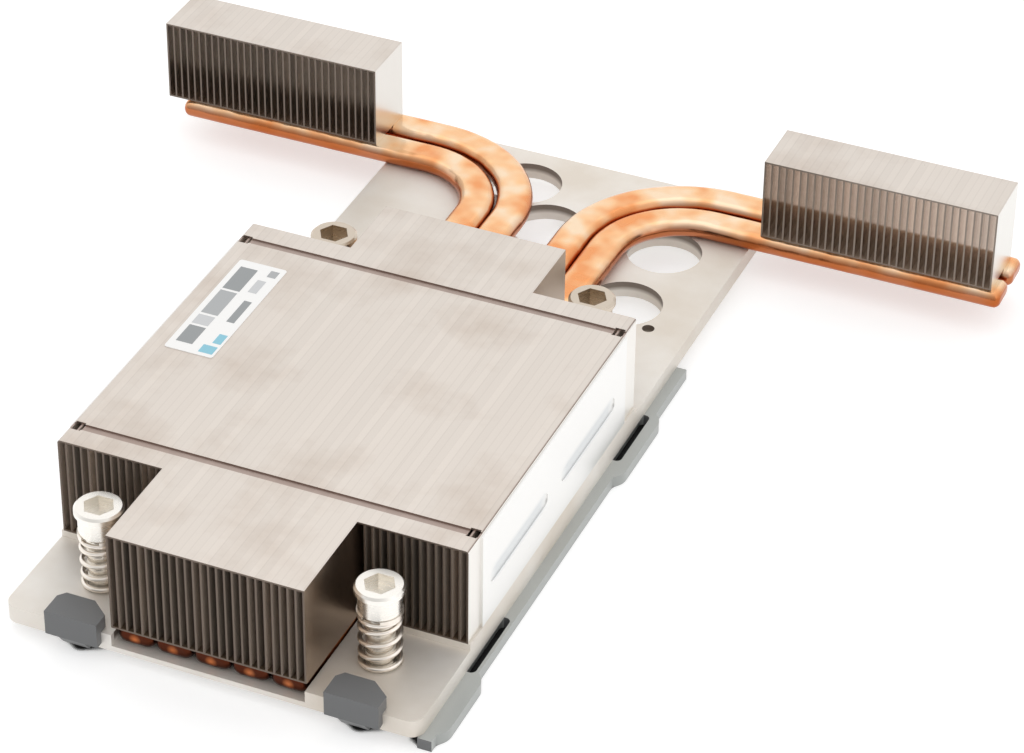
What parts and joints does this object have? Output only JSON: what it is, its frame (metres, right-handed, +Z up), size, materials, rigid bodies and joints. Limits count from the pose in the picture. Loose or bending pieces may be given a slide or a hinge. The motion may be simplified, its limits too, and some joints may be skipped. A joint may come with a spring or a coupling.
{
  "type": "passive server cpu heatsink",
  "caption": "Low server processor heatsink with a long nickel-plated base, folded fins, heat pipes out to two remote fin blocks, sprung captive nuts and a plastic side frame.",
  "frame": {"origin": "centre of the contact pad's underside, the face that meets the processor", "axes": "+X to the right across the fins, +Y towards the remote fin blocks, +Z up from the processor to the top of the fins"},
  "size_m": [0.1779, 0.1735, 0.0266],
  "materials": {
    "nickel_plated_aluminium": "nickel-plated, satin from a brushed surface",
    "nickel_plated_fins": "nickel-plated thin sheet, bright",
    "nickel_plated_copper": "nickel-plated, lapped",
    "copper_tube": "bare copper tube, pressed flat, dulled by soldering heat",
    "nickel_plated_steel": "nickel-plated, turned",
    "spring_steel": "nickel-plated spring wire and strip",
    "frame_plastic": "moulded, fine matt texture",
    "label_film": "coated label paper, semi-matt"
  },
  "bodies": {
    "heatsink": {"base_plate": "nickel_plated_aluminium", "contact_pad": "nickel_plated_copper", "heat_pipe_left_inner": "copper_tube", "heat_pipe_left_outer": "copper_tube", "heat_pipe_right_inner": "copper_tube", "heat_pipe_right_outer": "copper_tube", "heat_pipe_centre": "copper_tube", "fin_stack_centre": "nickel_plated_fins", "fin_stack_left": "nickel_plated_fins", "fin_stack_right": "nickel_plated_fins", "remote_fins_left": "nickel_plated_fins", "remote_fins_right": "nickel_plated_fins", "side_cover_left": "nickel_plated_fins", "side_cover_right": "nickel_plated_fins", "plastic_frame": "frame_plastic", "label": "label_film", "spring_front_left": "spring_steel", "spring_front_right": "spring_steel", "spring_rear_left": "spring_steel", "spring_rear_right": "spring_steel"},
    "clips_front_left": {"spring_clip_front_left": "spring_steel", "stop_clip_front_left": "spring_steel"},
    "nut_front_left": {"captive_nut_front_left": "nickel_plated_steel"},
    "clips_front_right": {"spring_clip_front_right": "spring_steel", "stop_clip_front_right": "spring_steel"},
    "nut_front_right": {"captive_nut_front_right": "nickel_plated_steel"},
    "clips_rear_left": {"spring_clip_rear_left": "spring_steel", "stop_clip_rear_left": "spring_steel"},
    "nut_rear_left": {"captive_nut_rear_left": "nickel_plated_steel"},
    "clips_rear_right": {"spring_clip_rear_right": "spring_steel", "stop_clip_rear_right": "spring_steel"},
    "nut_rear_right": {"captive_nut_rear_right": "nickel_plated_steel"}
  },
  "joints": [
    {"name": "press_front_left", "type": "slide", "parent": "heatsink", "child": "clips_front_left", "axis": [0, 0, 1], "range_m": [-0.003, 0], "stiffness_N_per_m": 2000, "springref_m": 0.003, "deforming": ["spring_front_left"]},
    {"name": "turn_front_left", "type": "hinge", "parent": "clips_front_left", "child": "nut_front_left", "pos_m": [-0.02625, -0.0464, 0.01], "axis": [0, 0, 1], "continuous": true},
    {"name": "press_front_right", "type": "slide", "parent": "heatsink", "child": "clips_front_right", "axis": [0, 0, 1], "range_m": [-0.003, 0], "stiffness_N_per_m": 2000, "springref_m": 0.003, "deforming": ["spring_front_right"]},
    {"name": "turn_front_right", "type": "hinge", "parent": "clips_front_right", "child": "nut_front_right", "pos_m": [0.02625, -0.0464, 0.01], "axis": [0, 0, 1], "continuous": true},
    {"name": "press_rear_left", "type": "slide", "parent": "heatsink", "child": "clips_rear_left", "axis": [0, 0, 1], "range_m": [-0.003, 0], "stiffness_N_per_m": 2000, "springref_m": 0.003, "deforming": ["spring_rear_left"]},
    {"name": "turn_rear_left", "type": "hinge", "parent": "clips_rear_left", "child": "nut_rear_left", "pos_m": [-0.02625, 0.0464, 0.01], "axis": [0, 0, 1], "continuous": true},
    {"name": "press_rear_right", "type": "slide", "parent": "heatsink", "child": "clips_rear_right", "axis": [0, 0, 1], "range_m": [-0.003, 0], "stiffness_N_per_m": 2000, "springref_m": 0.003, "deforming": ["spring_rear_right"]},
    {"name": "turn_rear_right", "type": "hinge", "parent": "clips_rear_right", "child": "nut_rear_right", "pos_m": [0.02625, 0.0464, 0.01], "axis": [0, 0, 1], "continuous": true}
  ]
}
